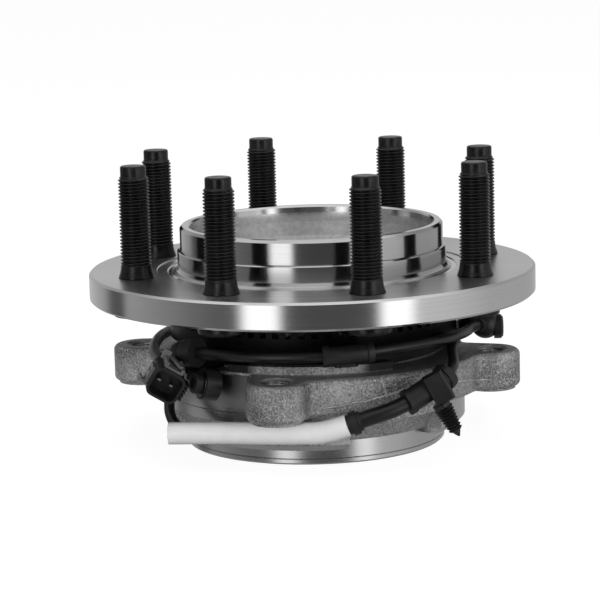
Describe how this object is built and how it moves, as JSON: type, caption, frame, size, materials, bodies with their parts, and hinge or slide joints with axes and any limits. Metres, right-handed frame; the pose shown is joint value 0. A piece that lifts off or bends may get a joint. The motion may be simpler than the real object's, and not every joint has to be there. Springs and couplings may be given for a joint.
{
  "type": "wheel hub bearing",
  "caption": "Wheel hub bearing unit: studded wheel flange with stepped pilot, cast outer ring with tapped ears, and a wheel speed sensor with its lead and connector.",
  "frame": {"origin": "on the axle line, in the plane of the outer ring's inboard end face", "axes": "+Z along the axle line towards the wheel; +X towards the sensor's round cap; -Y is the side seen from the front, where the lead's front run passes"},
  "size_m": [0.2048, 0.2048, 0.1308],
  "materials": {
    "cast_iron": "as-cast grain, machined ring and pads",
    "turned_steel": "turned",
    "black_oxide_steel": "black oxide",
    "stamped_steel": "stamped, oiled",
    "bearing_steel": "ground",
    "cage_steel": "stamped",
    "seal_steel": "pressed",
    "seal_rubber": "matte",
    "plated_steel": "zinc plated",
    "sensor_plastic": "moulded",
    "lead_rubber": "smooth jacket",
    "clip_plastic": "moulded",
    "grommet_rubber": "matte",
    "brass": "plain",
    "white_sleeve": "smooth",
    "connector_plastic": "moulded",
    "connector_grey": "moulded",
    "pin_metal": "tin plated"
  },
  "bodies": {
    "housing": {"outer_ring": "cast_iron", "outboard_seal_case": "seal_steel", "outboard_seal_lip": "seal_rubber", "inboard_seal_case": "seal_steel", "inboard_seal_lip": "seal_rubber", "sensor_carrier_ring": "plated_steel", "wheel_speed_sensor": "sensor_plastic", "sensor_o_ring": "seal_rubber", "sensor_screw": "plated_steel", "harness_cable": "lead_rubber", "cable_sleeve_clip": "clip_plastic", "left_grommet": "grommet_rubber", "bracket_eyelet": "clip_plastic", "brass_bushing": "brass", "eyelet_nose": "grommet_rubber", "clip_grommet": "grommet_rubber", "fir_tree_clip": "clip_plastic", "protective_sleeve": "white_sleeve", "retainer_band": "grommet_rubber", "cable_stiffener": "lead_rubber", "connector_housing": "connector_plastic", "connector_lock": "connector_grey", "connector_pins": "pin_metal"},
    "hub": {"hub_flange": "turned_steel", "wheel_studs": "black_oxide_steel", "tone_ring": "stamped_steel", "inner_ring_outboard": "bearing_steel", "inner_ring_inboard": "bearing_steel", "outboard_slinger": "seal_steel", "inboard_slinger": "seal_steel"},
    "outboard_row": {"outboard_cage": "cage_steel", "outboard_rollers": "bearing_steel"},
    "inboard_row": {"inboard_cage": "cage_steel", "inboard_rollers": "bearing_steel"}
  },
  "joints": [
    {"name": "hub_spin", "type": "hinge", "parent": "housing", "child": "hub", "pos_m": [0, 0, 0], "axis": [0, 0, 1], "continuous": true},
    {"name": "outboard_row_spin", "type": "hinge", "parent": "housing", "child": "outboard_row", "pos_m": [0, 0, 0], "axis": [0, 0, 1], "continuous": true},
    {"name": "inboard_row_spin", "type": "hinge", "parent": "housing", "child": "inboard_row", "pos_m": [0, 0, 0], "axis": [0, 0, 1], "continuous": true}
  ],
  "couplings": [
    {"joint": "outboard_row_spin", "follows": "hub_spin", "ratio": 0.45149},
    {"joint": "inboard_row_spin", "follows": "hub_spin", "ratio": 0.45149}
  ]
}
